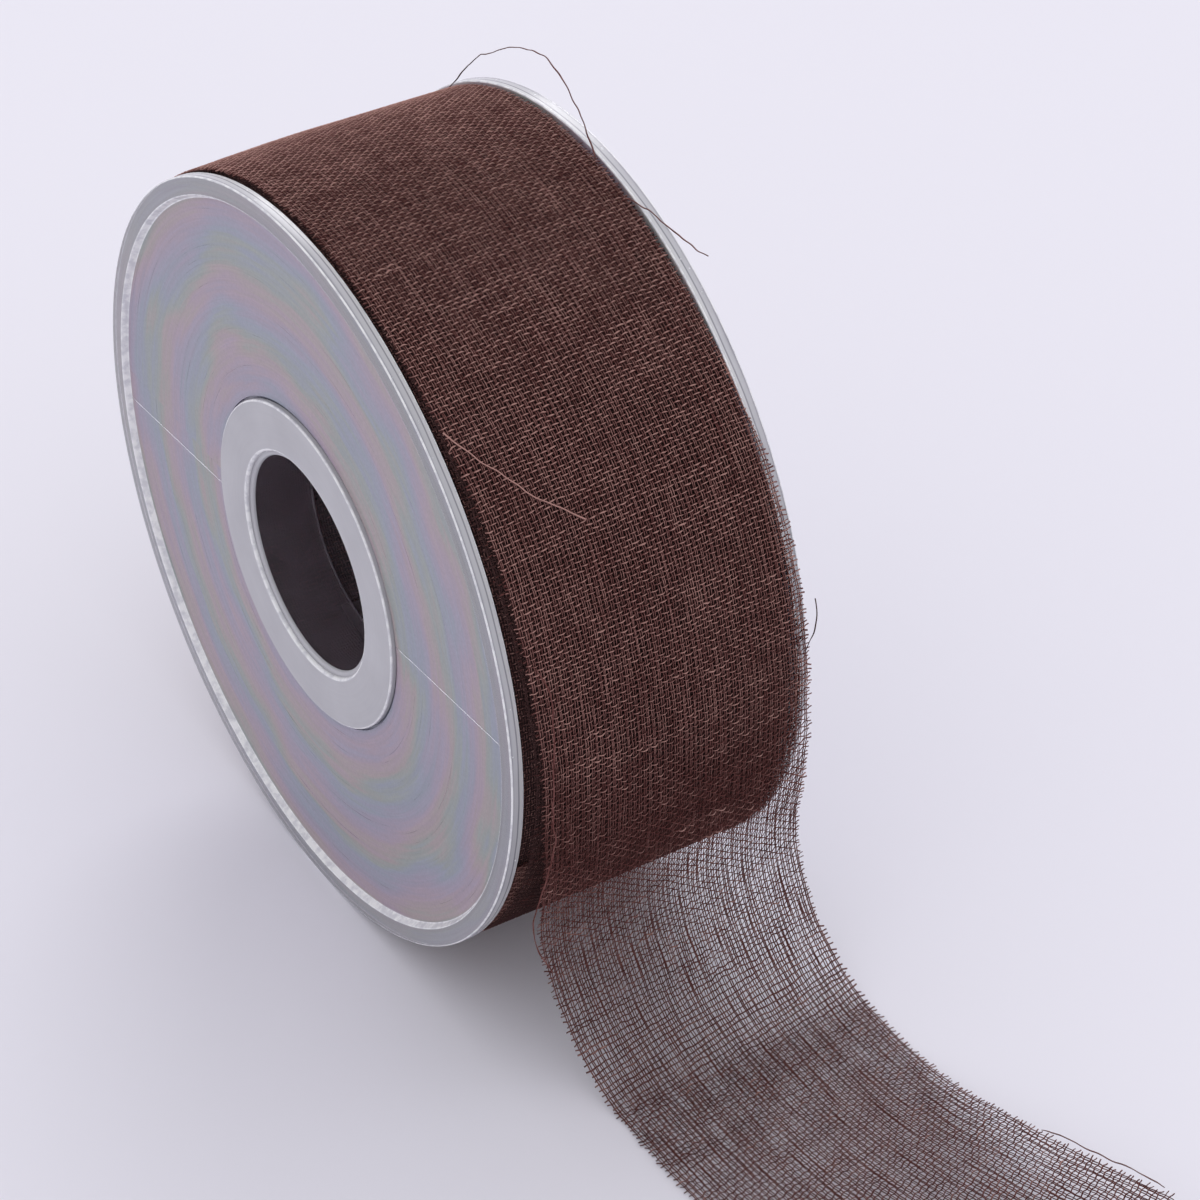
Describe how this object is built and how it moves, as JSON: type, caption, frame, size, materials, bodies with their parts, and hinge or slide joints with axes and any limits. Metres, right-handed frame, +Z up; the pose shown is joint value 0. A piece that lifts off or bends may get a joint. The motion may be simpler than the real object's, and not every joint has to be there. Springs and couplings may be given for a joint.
{
  "type": "ribbon spool",
  "caption": "Spool of brown open-weave ribbon between clear plastic discs on a hollow hub, standing on its rims with the ribbon's free end running out over the table.",
  "frame": {"origin": "centre of the spool, on the axis of its bore, half way between the discs", "axes": "+Y along the spool's axis from the near disc to the far disc, +Z up with the spool standing on its rims, +X towards the ribbon's free end"},
  "size_m": [0.1865, 0.059, 0.1086],
  "materials": {
    "clear_disc": "clear, fine turned lines",
    "frosted_bush": "frosted, translucent",
    "clear_tube": "clear, smooth",
    "tab_film": "adhesive film",
    "brown_gauze": "open plain weave, matt yarn"
  },
  "bodies": {
    "ribbon_lead": {"ribbon_outer_turn": "brown_gauze", "ribbon_tail": "brown_gauze"},
    "spool": {"near_disc": "clear_disc", "far_disc": "clear_disc", "near_bush": "frosted_bush", "far_bush": "frosted_bush", "core_tube": "clear_tube", "start_tab": "tab_film", "ribbon_winding": "brown_gauze"}
  },
  "joints": [
    {"name": "spool_spin", "type": "hinge", "parent": "ribbon_lead", "child": "spool", "pos_m": [0, 0, 0], "axis": [0, 1, 0], "continuous": true}
  ]
}
